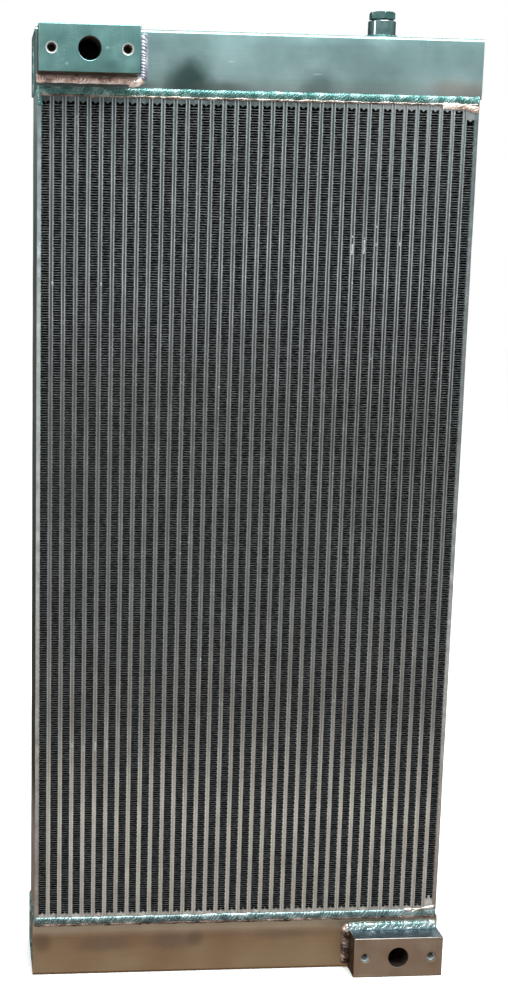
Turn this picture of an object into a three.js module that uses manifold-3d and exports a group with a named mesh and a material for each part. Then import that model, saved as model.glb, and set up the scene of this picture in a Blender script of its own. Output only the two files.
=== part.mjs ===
// Bar-and-plate hydraulic oil cooler, standing upright. Millimetres, +Z up, front facing -Y.
// The origin is the centre of the flat underside of the bottom tank.
import * as THREE from 'three'
import { mergeVertices } from 'three/addons/utils/BufferGeometryUtils.js'
import Module from 'manifold-3d'

const wasm = await Module()
wasm.setup()

// Driving dimensions
const gap = 0.3 // clearance left between two separate pieces that touch
const coreDepth = 120
const finColumns = 36
const finPassage = 9.5 // width of one air passage
const oilBar = 3 // width of one oil channel between its two parting sheets
const partingSheet = 0.8
const sidePlate = 5
const finHeight = 980 // open height of one air passage
const closingBar = 12 // height of the bars that close an air passage at top and bottom
const lastBarSetback = 10 // the bars of the last column sit this much deeper
const oilBarDepth = 6 // front-to-back depth of the bars that close an oil channel
const turbulatorWebs = 2
const turbulatorWeb = 2

const tankHeight = 68
const tankWall = 5
const tankCorner = 4 // outside bend radius of the tank shell
const tankOverhang = 2 // how far the tank shell runs past each side plate
const capRecess = 2

const blockWidth = 114
const blockHeight = 52
const blockDepth = 33
const portRadius = 13
const portChamfer = 0.9
const boltSpacing = 85
const boltRadius = 5.1
const boltDepth = 26
const boltChamfer = 1.6

const finSheet = 0.8 // coarse folds are thick enough to weigh what the fine fins weigh
const finFolds = 20
const finRecess = 1

const weldWidth = 9
const weldProud = 2.8
const filletSize = 8
const filletProud = 7
const filletEdge = 0.6 // what is left of a fillet weld at its outer edge, both sides together

const bossRadius = 16
const bossHeight = 18.5
const bossFromLeft = 399 // from the left side plate's outer face
const bossFromFront = 24
const bossChamfer = 1
const bossWeldWidth = 4
const bossWeldHeight = 4
const bossWeldKnee = { out: 2, up: 3 } // where the section of the boss weld bends
const threadRadius = 11
const hexFlats = 27
const hexHeight = 8
const hexChamfer = 1.6
const crownEase = 0.5 // how far the turned crown is eased at its rim
const sealRadius = 13
const sealThickness = 1.2
const shankRadius = 10.7
const shankLength = 13.5
const shankChamfer = 1

// Sizes that follow from them
const channel = oilBar + 2 * partingSheet
const pitch = finPassage + channel
const matrixWidth = finColumns * finPassage + (finColumns - 1) * channel
const coreWidth = matrixWidth + 2 * sidePlate
const coreHeight = finHeight + 2 * closingBar
const coreBottom = tankHeight
const coreTop = coreBottom + coreHeight
const totalHeight = coreTop + tankHeight
const tankWidth = coreWidth + 2 * tankOverhang
const frontFace = -coreDepth / 2
const through = 20 // how far a cutter runs past what it cuts
const overlap = 1 // how far two shapes that are joined run into each other

// How finely round shapes are drawn
const cornerSteps = 3
const beadSteps = 6
const boltSegments = 20
const weldSegments = 24
const roundSegments = 32

const blockPlaces = {
  inlet: { x: (blockWidth - tankWidth) / 2 + tankOverhang, z: totalHeight - blockHeight / 2 },
  outlet: { x: (tankWidth - blockWidth) / 2, z: blockHeight / 2 },
}
const bossPlace = { x: bossFromLeft - coreWidth / 2, y: frontFace + bossFromFront }

// Materials
const finish = (color, roughness, metalness = 1) =>
  new THREE.MeshStandardMaterial({ color, roughness, metalness })
const materials = {
  core: finish('#9b9c96', 0.45),
  fin: finish('#4c5052', 0.6),
  tank: finish('#8c9694', 0.35),
  block: finish('#8a9490', 0.3),
  weld: finish('#b4c2c2', 0.3),
  boss: finish('#a9b2b0', 0.18),
  plug: finish('#7d8a86', 0.25),
  seal: finish('#b9bdba', 0.4),
}

const cooler = new THREE.Group()

function addPiece(name, geometry, material, position = [0, 0, 0]) {
  const mesh = new THREE.Mesh(geometry, material)
  mesh.name = name
  mesh.position.set(...position)
  cooler.add(mesh)
  return mesh
}

// Booleans: a closed geometry becomes a solid, and a solid becomes a geometry again
function toSolid(geometry) {
  const bare = geometry.clone()
  bare.deleteAttribute('normal')
  bare.deleteAttribute('uv')
  const merged = mergeVertices(bare, 1e-4)
  return new wasm.Manifold(new wasm.Mesh({
    numProp: 3,
    vertProperties: new Float32Array(merged.attributes.position.array),
    triVerts: new Uint32Array(merged.index.array),
  }))
}

function toGeometry(solid) {
  const mesh = solid.getMesh()
  const geometry = new THREE.BufferGeometry()
  geometry.setAttribute('position', new THREE.BufferAttribute(new Float32Array(mesh.vertProperties), 3))
  geometry.setIndex(new THREE.BufferAttribute(new Uint32Array(mesh.triVerts), 1))
  geometry.computeVertexNormals()
  return geometry
}

function cut(geometry, cutters) {
  return toGeometry(cutters.reduce((solid, cutter) => solid.subtract(toSolid(cutter)), toSolid(geometry)))
}

// A box from its lowest and highest corners
function span([x0, y0, z0], [x1, y1, z1]) {
  const box = new THREE.BoxGeometry(x1 - x0, y1 - y0, z1 - z0)
  return box.translate((x0 + x1) / 2, (y0 + y1) / 2, (z0 + z1) / 2)
}

// A turned shape along Z from its radius and height points, closed on the axis or on itself
function turned(points, segments = roundSegments) {
  const outline = points.map(([radius, height]) => new THREE.Vector2(radius, height))
  return new THREE.LatheGeometry(outline, segments).rotateX(Math.PI / 2)
}

// The same shape along Y, its mouth towards the front
function turnedToFront(points, [x, y, z], segments = roundSegments) {
  return turned(points, segments).rotateX(Math.PI / 2).translate(x, y, z)
}

// A section given as (y, z) points, run along X between two ends
function runAlongX(points, x0, x1) {
  const section = new THREE.Shape(points.map(([y, z]) => new THREE.Vector2(y, z)))
  const bar = new THREE.ExtrudeGeometry(section, { depth: x1 - x0, bevelEnabled: false })
  return bar.rotateX(Math.PI / 2).rotateZ(Math.PI / 2).translate(x0, 0, 0)
}

// Core: one brazed lattice of oil channels, joined at top and bottom by the closing bars
function columnX(column) {
  return (column - (finColumns - 1) / 2) * pitch
}

function airPassage(column) {
  const isLast = column === finColumns - 1
  const setback = isLast ? lastBarSetback : 0
  const left = column === 0 ? -coreWidth : columnX(column) - finPassage / 2
  const right = isLast ? coreWidth : columnX(column) + finPassage / 2
  const bottom = coreBottom + closingBar + setback
  const top = coreTop - closingBar - setback
  return { left, right, bottom, top }
}

function passageCutters(column) {
  const { left, right, bottom, top } = airPassage(column)
  const depth = coreDepth / 2 + through
  const cutters = [span([left, -depth, bottom], [right, depth, top])]
  if (column === finColumns - 1) {
    cutters.push(span([left, -depth, top + closingBar], [right, depth, coreTop + through]))
    cutters.push(span([left, -depth, coreBottom - through], [right, depth, bottom - closingBar]))
  }
  return cutters
}

function oilSlots(columnOnTheLeft) {
  const centre = columnX(columnOnTheLeft) + pitch / 2
  const clear = coreDepth - 2 * oilBarDepth
  const slot = (clear - turbulatorWebs * turbulatorWeb) / (turbulatorWebs + 1)
  return Array.from({ length: turbulatorWebs + 1 }, (_, index) => {
    const y = -clear / 2 + index * (slot + turbulatorWeb)
    return span([centre - oilBar / 2, y, coreBottom - through], [centre + oilBar / 2, y + slot, coreTop + through])
  })
}

function coreMatrix() {
  const half = matrixWidth / 2 - gap
  const block = span([-half, -coreDepth / 2, coreBottom], [half, coreDepth / 2, coreTop])
  const cutters = []
  for (let column = 0; column < finColumns; column++) {
    cutters.push(...passageCutters(column))
    if (column < finColumns - 1) cutters.push(...oilSlots(column))
  }
  return cut(block, cutters)
}

addPiece('core_matrix', coreMatrix(), materials.core)

// Air fins: a folded sheet in each passage
function airFin(column) {
  const { bottom, top } = airPassage(column)
  const length = top - bottom - 2 * gap
  const reach = finPassage / 2 - gap - finSheet / 2
  const fold = (index, side) => new THREE.Vector2(
    (index % 2 ? reach : -reach) + side * finSheet / 2, (index / finFolds) * length)
  const outline = []
  for (let index = 0; index <= finFolds; index++) outline.push(fold(index, 1))
  for (let index = finFolds; index >= 0; index--) outline.push(fold(index, -1))
  const depth = coreDepth - 2 * finRecess
  const sheet = new THREE.ExtrudeGeometry(new THREE.Shape(outline), { depth, bevelEnabled: false })
  return sheet.rotateX(Math.PI / 2).translate(columnX(column), depth / 2, bottom + gap)
}

for (let column = 0; column < finColumns; column++) {
  addPiece(`air_fin_${String(column + 1).padStart(2, '0')}`, airFin(column), materials.fin)
}

// Side plates
for (const [name, side] of [['side_plate_left', -1], ['side_plate_right', 1]]) {
  const plate = new THREE.BoxGeometry(sidePlate, coreDepth, coreHeight)
  addPiece(name, plate, materials.core, [side * (coreWidth - sidePlate) / 2, 0, coreBottom + coreHeight / 2])
}

// Tanks: a bent channel each, closed at both ends by a plate set inside it
function tankSection() {
  const half = coreDepth / 2
  const outer = []
  for (let step = 0; step <= cornerSteps; step++) {
    const angle = (step / cornerSteps) * Math.PI / 2
    outer.push([half - tankCorner * (1 - Math.cos(angle)), tankHeight - tankCorner * (1 - Math.sin(angle))])
  }
  const outside = [[half, gap], ...outer]
  const inside = [[half - tankWall, tankHeight - tankWall], [half - tankWall, gap]]
  const mirrored = (points) => points.map(([y, z]) => [-y, z]).reverse()
  return [...outside, ...mirrored(outside), ...mirrored(inside), ...inside]
}

function portHole({ x, z }) {
  return turnedToFront([[0, -through], [portRadius, -through], [portRadius, through], [0, through]], [x, frontFace, z])
}

function tankShell(isTop) {
  const shell = runAlongX(tankSection(), -tankWidth / 2, tankWidth / 2)
  if (isTop) shell.translate(0, 0, coreTop)
  else shell.rotateX(Math.PI).translate(0, 0, tankHeight)
  const cutters = [portHole(isTop ? blockPlaces.inlet : blockPlaces.outlet)]
  if (isTop) {
    const hole = [[0, -through], [threadRadius, -through], [threadRadius, through], [0, through]]
    cutters.push(turned(hole).translate(bossPlace.x, bossPlace.y, totalHeight))
  }
  return cut(shell, cutters)
}

function tankCap(isTop, side) {
  const depth = coreDepth - 2 * (tankWall + gap)
  const height = tankHeight - tankWall - 2 * gap
  const centre = gap + height / 2
  const x = side * (tankWidth / 2 - capRecess - tankWall / 2)
  const z = isTop ? coreTop + centre : tankHeight - centre
  return new THREE.BoxGeometry(tankWall, depth, height).translate(x, 0, z)
}

for (const isTop of [true, false]) {
  const tank = isTop ? 'top_tank' : 'bottom_tank'
  addPiece(`${tank}_shell`, tankShell(isTop), materials.tank)
  addPiece(`${tank}_cap_left`, tankCap(isTop, -1), materials.tank)
  addPiece(`${tank}_cap_right`, tankCap(isTop, 1), materials.tank)
}

// Port blocks: a through bore between two tapped blind holes, all with a chamfered mouth
function portBlock({ x, z }) {
  const face = frontFace - blockDepth
  const body = span(
    [x - blockWidth / 2, face, z - blockHeight / 2],
    [x + blockWidth / 2, frontFace - gap, z + blockHeight / 2])
  const bore = [
    [0, -blockDepth - through], [portRadius, -blockDepth - through], [portRadius, -portChamfer],
    [portRadius + portChamfer, 0], [portRadius + portChamfer, through], [0, through],
  ]
  const tapped = [
    [0, -boltDepth], [boltRadius, -boltDepth], [boltRadius, -boltChamfer],
    [boltRadius + boltChamfer, 0], [boltRadius + boltChamfer, through], [0, through],
  ]
  return cut(body, [
    turnedToFront(bore, [x, face, z]),
    turnedToFront(tapped, [x - boltSpacing / 2, face, z], boltSegments),
    turnedToFront(tapped, [x + boltSpacing / 2, face, z], boltSegments),
  ])
}

// A fillet weld round the block's foot, left off where the block is flush with the tank
function blockWeld({ x, z }, isTop) {
  const wide = blockWidth + 2 * filletSize
  const high = blockHeight + 2 * filletSize
  const narrowed = (size) => (size + 2 * gap + filletEdge) / (size + 2 * filletSize)
  const foot = new THREE.BoxGeometry(wide, filletProud, high)
  const corners = foot.attributes.position
  for (let index = 0; index < corners.count; index++) {
    if (corners.getY(index) > 0) continue
    corners.setX(index, corners.getX(index) * narrowed(blockWidth))
    corners.setZ(index, corners.getZ(index) * narrowed(blockHeight))
  }
  foot.translate(x, frontFace - gap - filletProud / 2, z)
  const flush = isTop ? totalHeight - tankCorner : tankCorner
  const beyond = isTop ? [flush, flush + through * 2] : [flush - through * 2, flush]
  const front = frontFace - blockDepth
  const back = frontFace + through
  return cut(foot, [
    span([x - blockWidth / 2 - gap, front, z - blockHeight / 2 - gap],
      [x + blockWidth / 2 + gap, back, z + blockHeight / 2 + gap]),
    span([x - wide, front, beyond[0]], [x + wide, back, beyond[1]]),
    span([-tankWidth, front, z - high], [-tankWidth / 2, back, z + high]),
    span([tankWidth / 2, front, z - high], [tankWidth, back, z + high]),
  ])
}

for (const [name, place] of Object.entries(blockPlaces)) {
  addPiece(`${name}_port_block`, portBlock(place), materials.block)
  addPiece(`${name}_block_weld`, blockWeld(place, name === 'inlet'), materials.weld)
}

// Tank welds: a low round bead along each joint between tank and core
function tankWeld(isFront, z) {
  const side = isFront ? -1 : 1
  const section = Array.from({ length: beadSteps + 1 }, (_, step) => {
    const angle = (step / beadSteps) * Math.PI
    const proud = gap + weldProud * Math.sin(angle)
    return [side * (coreDepth / 2 + proud), z + (weldWidth / 2) * Math.cos(angle)]
  })
  const outline = isFront ? section : section.reverse()
  return runAlongX(outline, -coreWidth / 2, coreWidth / 2)
}

for (const [tank, z] of [['top', coreTop], ['bottom', coreBottom]]) {
  addPiece(`${tank}_front_weld`, tankWeld(true, z), materials.weld)
  addPiece(`${tank}_back_weld`, tankWeld(false, z), materials.weld)
}

// Vent boss on the top tank, its weld, and the hex plug with its sealing ring
const seat = totalHeight + gap + bossHeight
const vent = [bossPlace.x, bossPlace.y, 0]

const foot = totalHeight + gap
const bossProfile = [
  [threadRadius, foot], [bossRadius, foot], [bossRadius, seat - bossChamfer],
  [bossRadius - bossChamfer, seat], [threadRadius, seat], [threadRadius, foot],
]
addPiece('vent_boss', turned(bossProfile), materials.boss, vent)

const ringInside = bossRadius + gap
const bossWeldProfile = [
  [ringInside, foot], [ringInside + bossWeldWidth, foot],
  [ringInside + bossWeldKnee.out, totalHeight + bossWeldKnee.up],
  [ringInside, totalHeight + bossWeldHeight], [ringInside, foot],
]
addPiece('boss_weld', turned(bossWeldProfile, weldSegments), materials.weld, vent)

const sealBottom = seat + gap
const sealTop = sealBottom + sealThickness
const sealProfile = [
  [threadRadius, sealBottom], [sealRadius, sealBottom], [sealRadius, sealTop],
  [threadRadius, sealTop], [threadRadius, sealBottom],
]
addPiece('plug_seal', turned(sealProfile), materials.seal, vent)

function ventPlug() {
  const headBottom = sealTop + gap
  const headTop = headBottom + hexHeight
  const cornerRadius = hexFlats / Math.sqrt(3)
  const head = new THREE.CylinderGeometry(cornerRadius, cornerRadius, hexHeight, 6)
  head.rotateX(Math.PI / 2).rotateZ(Math.PI / 6).translate(0, 0, headBottom + hexHeight / 2)
  const crownTop = headTop + crownEase / 5
  const crown = turned([
    [0, headBottom - overlap], [cornerRadius + overlap, headBottom - overlap],
    [cornerRadius + overlap, headTop - hexChamfer + crownEase],
    [hexFlats / 2 - crownEase, crownTop], [0, crownTop],
  ])
  const shankEnd = headBottom - shankLength
  const shank = turned([
    [0, shankEnd], [shankRadius - shankChamfer, shankEnd], [shankRadius, shankEnd + shankChamfer],
    [shankRadius, headBottom + overlap], [0, headBottom + overlap],
  ])
  return toGeometry(toSolid(head).intersect(toSolid(crown)).add(toSolid(shank)))
}

addPiece('vent_plug', ventPlug(), materials.plug, vent)

export default cooler
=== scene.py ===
import math
import random

import bmesh
import bpy
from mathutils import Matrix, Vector, noise


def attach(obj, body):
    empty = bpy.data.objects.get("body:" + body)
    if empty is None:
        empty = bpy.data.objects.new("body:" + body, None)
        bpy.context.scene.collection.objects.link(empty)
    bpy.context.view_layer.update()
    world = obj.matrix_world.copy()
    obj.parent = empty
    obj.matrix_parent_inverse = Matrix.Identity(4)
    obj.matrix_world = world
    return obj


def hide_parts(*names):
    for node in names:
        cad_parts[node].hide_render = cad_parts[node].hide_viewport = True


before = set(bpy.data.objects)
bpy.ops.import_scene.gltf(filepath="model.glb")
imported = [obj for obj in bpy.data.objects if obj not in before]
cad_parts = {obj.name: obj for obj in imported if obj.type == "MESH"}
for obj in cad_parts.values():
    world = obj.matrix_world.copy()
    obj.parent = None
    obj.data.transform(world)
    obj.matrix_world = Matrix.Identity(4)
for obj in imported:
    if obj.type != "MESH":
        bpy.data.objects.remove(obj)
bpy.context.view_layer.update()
mm = 0.001
print("frame loaded")


def deselect():
    bpy.ops.object.select_all(action="DESELECT")


def makeActive(piece):
    deselect()
    piece.select_set(True)
    bpy.context.view_layer.objects.active = piece


def named(name):
    piece = bpy.context.object
    piece.name = name
    piece.data.name = name
    return piece


def placeHere(piece):
    makeActive(piece)
    bpy.ops.object.transform_apply(location=True, rotation=True, scale=True)


def barStock(name, low, high):
    # a length of bar between two corners, in mm
    low, high = Vector(low) * mm, Vector(high) * mm
    deselect()
    bpy.ops.mesh.primitive_cube_add(size=1, location=(low + high) / 2)
    piece = named(name)
    piece.scale = high - low
    placeHere(piece)
    return piece


def roundStock(name, place, radius, length, axis="Z", sides=64):
    # a length of round bar about its middle, in mm
    deselect()
    turn = {"Y": (math.pi / 2, 0, 0), "Z": (0, 0, 0)}[axis]
    bpy.ops.mesh.primitive_cylinder_add(
        vertices=sides, radius=radius * mm, depth=length * mm,
        location=Vector(place) * mm, rotation=turn)
    piece = named(name)
    placeHere(piece)
    return piece


def choose(piece, kind, rule):
    # leaves the piece in edit mode with just what the rule picks selected
    makeActive(piece)
    bpy.ops.object.mode_set(mode="EDIT")
    bpy.ops.mesh.select_mode(type=kind)
    bpy.ops.mesh.select_all(action="DESELECT")
    shape = bmesh.from_edit_mesh(piece.data)
    items = {"VERT": shape.verts, "EDGE": shape.edges, "FACE": shape.faces}[kind]
    for item in items:
        if rule(item):
            item.select_set(True)
    shape.select_flush_mode()
    bmesh.update_edit_mesh(piece.data)


def leaveEdit():
    bpy.ops.object.mode_set(mode="OBJECT")


def runsAlong(edge, axis):
    span = edge.verts[1].co - edge.verts[0].co
    return abs(span[axis]) > 0.99 * span.length


def bevelEdges(piece, rule, offset, segments, **settings):
    choose(piece, "EDGE", rule)
    bpy.ops.mesh.bevel(offset=offset * mm, segments=segments, affect="EDGES", **settings)
    leaveEdit()


def divideEdges(piece, rule, cuts):
    choose(piece, "EDGE", rule)
    bpy.ops.mesh.subdivide(number_cuts=cuts)
    leaveEdit()


def removeChosen(piece, kind, rule):
    choose(piece, kind, rule)
    bpy.ops.mesh.delete(type=kind)
    leaveEdit()


def cutAcross(piece, axis, places):
    # cuts the piece square across at places along one axis, in metres
    for place in places:
        choose(piece, "FACE", lambda face: True)
        point, normal = Vector((0, 0, 0)), Vector((0, 0, 0))
        point[axis], normal[axis] = place, 1
        bpy.ops.mesh.bisect(plane_co=point, plane_no=normal)
        leaveEdit()


def tidyNormals(piece, merge=0.00002):
    choose(piece, "VERT", lambda vert: True)
    bpy.ops.mesh.remove_doubles(threshold=merge)
    bpy.ops.mesh.normals_make_consistent(inside=False)
    leaveEdit()


def useModifier(piece, kind, **settings):
    makeActive(piece)
    modifier = piece.modifiers.new(kind, kind)
    for key, value in settings.items():
        setattr(modifier, key, value)
    bpy.ops.object.modifier_apply(modifier=modifier.name)


def copyOf(piece, name):
    twin = piece.copy()
    twin.data = piece.data.copy()
    twin.name = name
    bpy.context.scene.collection.objects.link(twin)
    return twin


def joined(name, pieces):
    makeActive(pieces[0])
    for piece in pieces:
        piece.select_set(True)
    bpy.ops.object.join()
    return named(name)


def cutWith(piece, cutter, solver="EXACT"):
    useModifier(piece, "BOOLEAN", operation="DIFFERENCE", solver=solver, object=cutter)
    bpy.data.objects.remove(cutter)


def finishPiece(piece, material, nodes=(), body="cooler", sharp=35, flatFrom=None):
    # flatFrom: faces larger than this many square mm are shaded flat
    makeActive(piece)
    bpy.ops.object.shade_smooth_by_angle(angle=math.radians(sharp))
    if flatFrom:
        for face in piece.data.polygons:
            if face.area > flatFrom * mm * mm:
                face.use_smooth = False
    piece.data.materials.clear()
    piece.data.materials.append(material)
    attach(piece, body)
    if nodes:
        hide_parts(*nodes)


def paintFaces(piece, materials, pick):
    # pick gives each face the number of its material: 0 is the piece's own, then those added here
    for material in materials:
        piece.data.materials.append(material)
    for face in piece.data.polygons:
        face.material_index = pick(face)


def toLinear(hexColour):
    parts = [int(hexColour[i:i + 2], 16) / 255 for i in (1, 3, 5)]
    return [p / 12.92 if p <= 0.04045 else ((p + 0.055) / 1.055) ** 2.4 for p in parts] + [1]


def addNode(tree, kind, inputs=None, **settings):
    made = tree.nodes.new("ShaderNode" + kind)
    for key, value in settings.items():
        setattr(made, key, value)
    for key, value in (inputs or {}).items():
        if isinstance(value, bpy.types.NodeSocket):
            tree.links.new(value, made.inputs[key])
        else:
            made.inputs[key].default_value = value
    return made


def setRamp(ramp, stops):
    points = ramp.color_ramp.elements
    while len(points) < len(stops):
        points.new(0.5)
    for point, (place, colour) in zip(points, sorted(stops.items())):
        point.position = place
        point.color = toLinear(colour) if isinstance(colour, str) else (colour, colour, colour, 1)


def newMaterial(name):
    material = bpy.data.materials.new(name)
    material.use_nodes = True
    tree = material.node_tree
    tree.nodes.clear()
    shader = addNode(tree, "BsdfPrincipled")
    out = addNode(tree, "OutputMaterial", {"Surface": shader.outputs["BSDF"]})
    out.location = (400, 0)
    return material, tree, shader


def patched(tree, where, fray, base, patches):
    # soft-edged patches of another tone: (centre in mm, reach in mm, colour, strength)
    for centre, reach, colour, strength in patches:
        local = addNode(tree, "Mapping", {
            "Vector": where, "Location": [c * mm for c in centre], "Scale": [r * mm for r in reach]},
            vector_type="TEXTURE")
        away = addNode(tree, "VectorMath", {0: local.outputs["Vector"]}, operation="LENGTH")
        frayed = addNode(tree, "Math", {
            0: fray, 1: 0.8, 2: away.outputs["Value"]}, operation="MULTIPLY_ADD")
        share = addNode(tree, "MapRange", {
            "Value": frayed.outputs["Value"], "From Min": 0.7, "From Max": 1.6,
            "To Min": strength, "To Max": 0.0}, interpolation_type="SMOOTHSTEP")
        base = addNode(tree, "Mix", {
            0: share.outputs["Result"], 6: base, 7: toLinear(colour)}, data_type="RGBA").outputs[2]
    return base


toneTop = 1.14  # the height in metres where the tones end


def metalFinish(name, changes):
    # Bare aluminium: tone by height, which on the tanks, port blocks and core is painted reflection and
    # shade (warm floor below, cool sky above), then mottling, rolling or milling lines, specks and
    # scratches.
    look = {**baseLook, **changes}
    material, tree, shader = newMaterial(name)
    where = addNode(tree, "TexCoord").outputs["Object"]
    parts = addNode(tree, "SeparateXYZ", {"Vector": where})
    height = addNode(tree, "MapRange", {
        "Value": parts.outputs["Z"], "From Min": 0.0, "From Max": toneTop})
    tone = addNode(tree, "ValToRGB", {"Fac": height.outputs["Result"]})
    setRamp(tone, look["tone"])

    # cloudy mottling, its size in mm
    cloud = addNode(tree, "TexNoise", {
        "Vector": where, "Scale": 1000 / look["cloudSize"], "Detail": 4.0, "Roughness": 0.55})
    cloudRange = addNode(tree, "MapRange", {
        "Value": cloud.outputs["Fac"], "From Min": 0.3, "From Max": 0.7,
        "To Min": 1 - look["cloudDepth"], "To Max": 1 + look["cloudDepth"] * 0.6})
    clouded = addNode(tree, "VectorMath", {
        0: tone.outputs["Color"], 1: cloudRange.outputs["Result"]}, operation="MULTIPLY")

    # rolling, brushing or milling lines: noise drawn out along one axis
    stretched = addNode(tree, "Mapping", {"Vector": where, "Scale": look["lineScale"]})
    lines = addNode(tree, "TexNoise", {
        "Vector": stretched.outputs["Vector"], "Scale": 1.0, "Detail": 3.0, "Roughness": 0.6})
    lineRange = addNode(tree, "MapRange", {
        "Value": lines.outputs["Fac"], "From Min": 0.3, "From Max": 0.7,
        "To Min": 1 - look["lineDepth"], "To Max": 1 + look["lineDepth"]})
    lined = addNode(tree, "VectorMath", {
        0: clouded.outputs["Vector"], 1: lineRange.outputs["Result"]}, operation="MULTIPLY")

    # soft patches of another tone, some of them painted shade and painted reflections
    toned = patched(tree, where, cloud.outputs["Fac"], lined.outputs["Vector"], look["patches"])

    # small bright and dark specks
    cells = addNode(tree, "TexVoronoi", {
        "Vector": where, "Scale": 1000 / look["speckGap"], "Randomness": 1.0})
    speck = addNode(tree, "MapRange", {
        "Value": cells.outputs["Distance"], "From Min": look["speckSize"] * 0.6,
        "From Max": look["speckSize"], "To Min": 1.0, "To Max": 0.0})
    chance = addNode(tree, "SeparateColor", {"Color": cells.outputs["Color"]})
    specked = toned
    for part, tint in (("Red", look["speckBright"]), ("Green", look["speckDark"])):
        lucky = addNode(tree, "Math", {
            0: chance.outputs[part], 1: look["speckChance"]}, operation="LESS_THAN")
        share = addNode(tree, "Math", {
            0: speck.outputs["Result"], 1: lucky.outputs["Value"]}, operation="MULTIPLY")
        specked = addNode(tree, "Mix", {
            0: share.outputs["Value"], 6: specked, 7: toLinear(tint)}, data_type="RGBA").outputs[2]

    # hairline scratches: edges of long thin cells, kept only in patches
    turned = addNode(tree, "Mapping", {
        "Vector": where, "Rotation": look["scratchTurn"], "Scale": look["scratchScale"]})
    hair = addNode(tree, "TexVoronoi", {
        "Vector": turned.outputs["Vector"], "Scale": 1.0}, feature="DISTANCE_TO_EDGE")
    thin = addNode(tree, "MapRange", {
        "Value": hair.outputs["Distance"], "From Min": 0.0, "From Max": look["scratchWidth"],
        "To Min": 1.0, "To Max": 0.0})
    patch = addNode(tree, "TexNoise", {"Vector": where, "Scale": 38.0, "Detail": 1.0})
    patches = addNode(tree, "MapRange", {
        "Value": patch.outputs["Fac"], "From Min": 0.52, "From Max": 0.66})
    scratch = addNode(tree, "Math", {
        0: thin.outputs["Result"], 1: patches.outputs["Result"]}, operation="MULTIPLY")
    scratchShare = addNode(tree, "Math", {
        0: scratch.outputs["Value"], 1: look["scratchShare"]}, operation="MULTIPLY")
    scratched = addNode(tree, "Mix", {
        0: scratchShare.outputs["Value"], 6: specked, 7: toLinear(look["speckBright"])},
        data_type="RGBA")
    tree.links.new(scratched.outputs[2], shader.inputs["Base Color"])

    # gloss follows the same marks
    gloss = addNode(tree, "MapRange", {
        "Value": cloud.outputs["Fac"], "From Min": 0.3, "From Max": 0.7,
        "To Min": look["rough"][0], "To Max": look["rough"][1]})
    tree.links.new(gloss.outputs["Result"], shader.inputs["Roughness"])

    fine = addNode(tree, "TexNoise", {
        "Vector": where, "Scale": 1000 / look["grain"], "Detail": 3.0, "Roughness": 0.6})
    relief = addNode(tree, "Math", {
        0: lines.outputs["Fac"], 1: look["lineRelief"], 2: fine.outputs["Fac"]}, operation="MULTIPLY_ADD")
    bump = addNode(tree, "Bump", {
        "Height": relief.outputs["Value"], "Strength": look["bump"], "Distance": 0.0003})
    tree.links.new(bump.outputs["Normal"], shader.inputs["Normal"])
    shader.inputs["Metallic"].default_value = look["metallic"]
    return material


# sizes and gaps in mm; line and scratch scales are noise cells in a metre, along x, y and z;
# a tone is set by height, from 0 at the floor to 1 at 1.14 m
baseLook = {
    "cloudSize": 40, "cloudDepth": 0.12, "lineScale": (30, 30, 900), "lineDepth": 0.05,
    "speckGap": 9, "speckSize": 0.07, "speckChance": 0.12, "speckBright": "#dfe6e8",
    "speckDark": "#2b2f30", "scratchTurn": (0.0, 0.5, 0.3), "scratchScale": (60, 60, 520),
    "scratchWidth": 0.02, "scratchShare": 0.5, "rough": (0.3, 0.45), "grain": 1.2,
    "lineRelief": 0.6, "bump": 0.12, "metallic": 1.0, "patches": [],
}

# Mill-finish 5083 sheet, bent and left bare: satin, with rolling lines and handling marks. Its tone by
# height is painted reflection: warm floor light low on the bottom tank with a painted highlight along its
# crease, cool teal sky on the top tank.
tankMetal = metalFinish("millFinishAluminium", {
    # painted reflection by height, with a painted highlight at 0.051 along the bottom tank's crease
    "tone": {0.0: "#d6c5ae", 0.035: "#c8b198", 0.045: "#bba48f", 0.051: "#d9c8b4",
             0.06: "#cbbba9", 0.5: "#b4b6b4", 0.93: "#a5b3b5", 0.96: "#b0c2c4", 1.0: "#a4bdbd"},
    "cloudSize": 70, "cloudDepth": 0.1, "lineScale": (12, 400, 700), "lineDepth": 0.04,
    "rough": (0.3, 0.42), "bump": 0.06,
    # painted shade on the top tank's downward-facing lip, painted dim reflections low on the top tank, a
    # painted shadow and darker patches on the bottom tank, two hairline scratches
    "patches": [
        # painted dim reflection
        ((-84, -60, 1082), (33, 200, 33), "#38504d", 0.86),
        # painted shade on the top tank's downward-facing lip
        ((-52, -60, 1078), (44, 200, 9), "#66716f", 0.65),
        # painted dim reflection
        ((68, -60, 1080), (26, 200, 26), "#6f7f81", 0.6),
        ((228, -60, 1084), (50, 200, 14), "#c9b2aa", 0.5),
        # painted shade on the lip under the inlet block
        ((-200, -60, 1079), (80, 200, 9), "#3d4443", 0.85),
        ((-36, -60, 1107), (5, 200, 0.7), "#eef4f4", 0.7),
        ((64, -60, 1096), (7, 200, 0.7), "#eef4f4", 0.6),
        ((-54, -60, 44), (14, 200, 13), "#84776f", 0.55),
        ((-85, -60, 42), (38, 200, 13), "#9a8c88", 0.55),
        ((-168, -60, 40), (46, 200, 12), "#9d8f8b", 0.55),
        ((60, -60, 47), (46, 200, 8), "#a39289", 0.4),
        # painted shadow between the bottom core weld and the outlet block
        ((185, -60, 60), (84, 200, 9), "#6a6154", 0.75),
        ((-248, -60, 44), (16, 200, 16), "#7d6e64", 0.5)]})
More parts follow.
